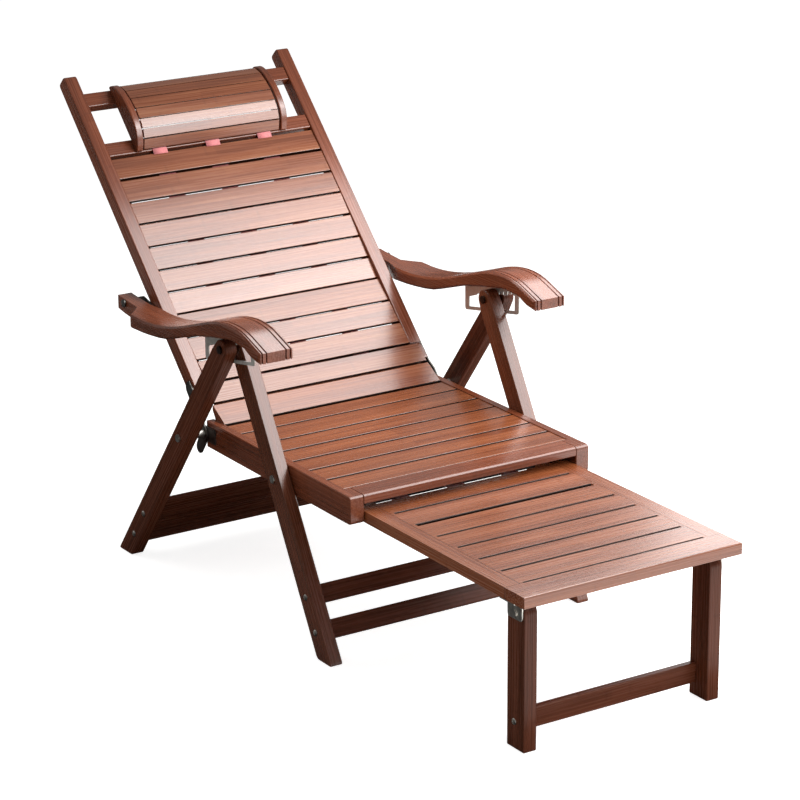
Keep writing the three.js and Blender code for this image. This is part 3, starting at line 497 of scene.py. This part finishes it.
def framed(shape):
    """Parts the side rails and joints of the frame, and paints shade on the walls of the gaps."""
    rail_joint = (foot_rail_inner, foot_rail_inner + joint_width)
    cuts = [((s * x, 0, 0), (1, 0, 0)) for s in (-1, 1) for x in rail_joint]
    cuts += [((0, y, 0), (0, 1, 0)) for y in (foot_board_rear, foot_board_rear + joint_width)]
    for centre, normal in cuts:
        bmesh.ops.bisect_plane(
            shape, geom=shape.verts[:] + shape.edges[:] + shape.faces[:],
            plane_co=centre, plane_no=normal,
        )
    walls = []
    for face in shape.faces:
        x, y, _ = face.calc_center_median()
        # The walls of the gaps take the dark edge tone as painted shade; the joints take it as their own
        # colour.
        if abs(face.normal.y) > 0.6 and y > foot_front + front_edge:
            face.material_index = 1
            if abs(face.normal.y) > 0.99:
                walls.append((math.copysign(gap_ease, -face.normal.y), set(face.verts)))
        elif abs(x) > foot_rail_inner and y > foot_board_rear:
            on_joint = abs(x) < foot_rail_inner + joint_width or y < foot_board_rear + joint_width
            face.material_index = 1 if on_joint else 2
    for way in (-gap_ease, gap_ease):
        verts = {
            vert for push, wall in walls if push == way
            for vert in wall if abs(vert.co.x) < foot_rail_inner + 0.002
        }
        bmesh.ops.translate(shape, verts=list(verts), vec=(0, way, 0))


eased("footrest_frame", "footrest", slat_woods + [lacquered_bamboo("slat", 0)], 0.0007,
      slot="bamboo", then=framed)
# The folding legs and their stretcher take red darkened as painted shade, since they lie in shadow.
for side in ("left", "right"):
    eased(f"footrest_leg_{side}", "footrest_stand", lacquered_bamboo("painted_shade", 90), slot="bamboo_dark")
eased("footrest_stretcher", "footrest_stand", lacquered_bamboo("painted_shade", "x"), slot="bamboo_dark")


# ---- Steel fittings ----
# Bright zinc-plated steel for the bolts and footrest brackets, a pale metal with soft, slightly
# cloudy reflections. The toothed racks are plated too, but made only half metallic, so that their
# pale colour shows as painted light, in place of a lamp on their left. The hinge plates and arm
# brackets are plain steel, and the arms' pins are bronzed.
def plated_steel(name, dull, bright, smooth, rough, bare=1.0):
    """Sheet steel with a cloudy finish, in patches about 10 mm across. bare is the metal's share."""
    steel, tree, shader = new_material(name)
    place = add_node(tree, "ShaderNodeTexCoord").outputs["Object"]
    cloud = add_node(tree, "ShaderNodeTexNoise", {
        "Vector": place, "Scale": 90.0, "Detail": 3.0,
    }).outputs["Fac"]
    tone = add_node(tree, "ShaderNodeValToRGB", {"Fac": cloud})
    low, high = tone.color_ramp.elements
    low.position, low.color = 0.3, linear(dull)
    high.position, high.color = 0.7, linear(bright)
    tree.links.new(tone.outputs["Color"], shader.inputs["Base Color"])
    finish = add_node(tree, "ShaderNodeMapRange", {
        "Value": cloud, "From Min": 0.3, "From Max": 0.7, "To Min": smooth, "To Max": rough,
    })
    tree.links.new(finish.outputs["Result"], shader.inputs["Roughness"])
    shader.inputs["Metallic"].default_value = bare
    return steel


zinc = plated_steel("zinc_plated_steel", "#cdc9c0", "#ebe8e1", 0.38, 0.5)
# Half metallic and pale: painted light on the racks, standing for a lamp on their left.
rack_zinc_painted_light = plated_steel("half_metal_zinc_painted_light", "#cfccc5", "#e4e2dc", 0.4, 0.5, 0.45)
plain_steel = plated_steel("plain_steel", "#5f5c59", "#7b7873", 0.42, 0.55)
bronzed_steel = plated_steel("bronzed_steel", "#2e211b", "#46342b", 0.4, 0.55)
fittings = {
    "apex_pin": ("rear_frame", bronzed_steel), "hinge_bolt": ("rear_frame", zinc),
    "seat_stud": ("front_legs", zinc), "seat_hinge_plate": ("seat", plain_steel),
    "back_hinge_plate": ("back", plain_steel), "arm_bracket": ("back", plain_steel),
    "footrest_bracket": ("footrest", zinc),
}
for side in ("left", "right"):
    for stem, (body, steel) in fittings.items():
        eased(f"{stem}_{side}", body, steel, 0.0004, slot="steel", sharp=40)
    eased(f"arm_rack_{side}", f"arm_assembly_{side}", rack_zinc_painted_light, 0, slot="steel")


# ---- Leg screws ----
# Dome-headed screws through the outer faces of the legs, one into the end of each stretcher.
def screw_heads(name, body, places, radius=0.0062, rise=0.0026):
    """Domed heads with a recess, each turned from its profile by share of radius and height."""
    profile = [
        (0, -0.0006), (1, -0.0006), (1, rise * 0.3), (0.86, rise * 0.72), (0.55, rise),
        (0.44, rise), (0.38, rise * 0.4), (0, rise * 0.4),
    ]
    shape = bmesh.new()
    for x, y, z in places:
        out = math.copysign(1, x)
        verts = [shape.verts.new((x + out * h, y, z + r * radius)) for r, h in profile]
        edges = [shape.edges.new(pair) for pair in zip(verts, verts[1:])]
        bmesh.ops.spin(
            shape, geom=verts + edges, cent=(x, y, z), axis=(out, 0, 0), dvec=(0, 0, 0),
            angle=math.tau, steps=20, use_merge=True, use_duplicate=False,
        )
    bmesh.ops.remove_doubles(shape, verts=shape.verts, dist=1e-5)
    bmesh.ops.recalc_face_normals(shape, faces=shape.faces)
    return finished(shape, name, body, zinc, "steel")


y_middle = 0.31067
for stem, body, places in (
    ("rear_leg", "rear_frame", ((0.6985, 0.1089), (0.7425, 0.0516))),
    ("front_leg", "front_legs", ((0.1178, 0.113), (0.0841, 0.0525))),
    ("footrest_leg", "footrest_stand", ((-0.453, 0.052),)),
):
    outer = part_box(f"{stem}_right")[1][0]
    screw_heads(f"{stem}_screws", body, [
        (s * outer, y - y_middle, z) for s in (-1, 1) for y, z in places
    ])


# ---- Webbing ----
# Three pink woven straps behind the back's slats. Each comes round the front of the head rail,
# crosses the open gap above the first slat, and goes down behind the slats.
webbing, tree, shader = new_material("woven_polyester_webbing")
place = add_node(tree, "ShaderNodeTexCoord").outputs["Object"]
warp, weft = (
    add_node(tree, "ShaderNodeTexWave", {
        "Vector": place, "Scale": 160.0, "Distortion": 0.0,
    }, wave_type="BANDS", bands_direction=way).outputs["Fac"]
    for way in ("X", "Z")
)
cloth = add_node(tree, "ShaderNodeMath", {0: warp, 1: weft}, operation="MULTIPLY").outputs[0]
pink = add_node(tree, "ShaderNodeValToRGB", {"Fac": cloth})
for stop, code in zip(pink.color_ramp.elements, ("#cf7476", "#e89c9c")):
    stop.color = linear(code)
tree.links.new(pink.outputs["Color"], shader.inputs["Base Color"])
weave_bump = add_node(tree, "ShaderNodeBump", {"Height": cloth, "Strength": 0.5, "Distance": 0.0004})
tree.links.new(weave_bump.outputs["Normal"], shader.inputs["Normal"])
shader.inputs["Roughness"].default_value = 0.85
shader.inputs["Sheen Weight"].default_value = 0.3
eased("back_webbing", "back", webbing, 0, slot="webbing")


def straps(name, body, width, thickness, path):
    """Three straps that follow path, which gives a point for each x."""
    shape = bmesh.new()
    for centre in (-0.125, 0.0, 0.125):
        strip_along(shape, path(centre - width / 2), (width, 0, 0))
    bmesh.ops.recalc_face_normals(shape, faces=shape.faces)
    walls = finished(shape, name, body, webbing, "webbing").modifiers.new("thickness", "SOLIDIFY")
    walls.thickness, walls.offset = thickness, 0


head_path = (
    (0.6280, 0.0214), (0.6310, 0.0217), (0.6345, 0.0226), (0.6385, 0.0234), (0.6520, 0.0234),
)
straps("back_webbing_tabs", "back", 0.033, 0.0012, lambda x: [on_back(x, *place) for place in head_path])
# Three more run under the footrest's slats, from its front board to the bar at its tail.
straps("footrest_straps", "footrest", 0.038, 0.0015,
       lambda x: [(x, y, 0.2962) for y in (-0.7615, -0.5, -0.2352)])


# ---- Floor and room ----
# A plain pale floor that keeps the chair's shadow, in a white room that lights it dimly.
floor_half = 30
shape = bmesh.new()
bmesh.ops.create_grid(shape, x_segments=1, y_segments=1, size=floor_half)
floor_data = bpy.data.meshes.new("floor")
shape.to_mesh(floor_data)
shape.free()
floor = bpy.data.objects.new("floor", floor_data)
bpy.context.scene.collection.objects.link(floor)
matt, tree, shader = new_material("matt_white_floor")
shader.inputs["Base Color"].default_value = linear("#e2e2e0")
shader.inputs["Roughness"].default_value = 0.9
shader.inputs["Specular IOR Level"].default_value = 0.1
glow_strength = 0.84
rays = add_node(tree, "ShaderNodeLightPath").outputs
seen = rays["Is Camera Ray"]
for kind in ("Is Glossy Ray", "Is Transmission Ray"):
    seen = add_node(tree, "ShaderNodeMath", {0: seen, 1: rays[kind]}, operation="MAXIMUM").outputs[0]
seen = add_node(tree, "ShaderNodeMath", {0: seen, 1: glow_strength}, operation="MULTIPLY").outputs[0]
glow = add_node(tree, "ShaderNodeEmission", {"Color": (1, 1, 1, 1), "Strength": seen})
both = add_node(tree, "ShaderNodeAddShader", {0: shader.outputs[0], 1: glow.outputs[0]})
tree.links.new(both.outputs[0], tree.nodes["Material Output"].inputs["Surface"])
floor_data.materials.append(matt)

world = bpy.data.worlds.new("room")
world.use_nodes = True
bpy.context.scene.world = world
background = world.node_tree.nodes["Background"]
background.inputs["Color"].default_value = (1, 1, 1, 1)
background.inputs["Strength"].default_value = 0.25
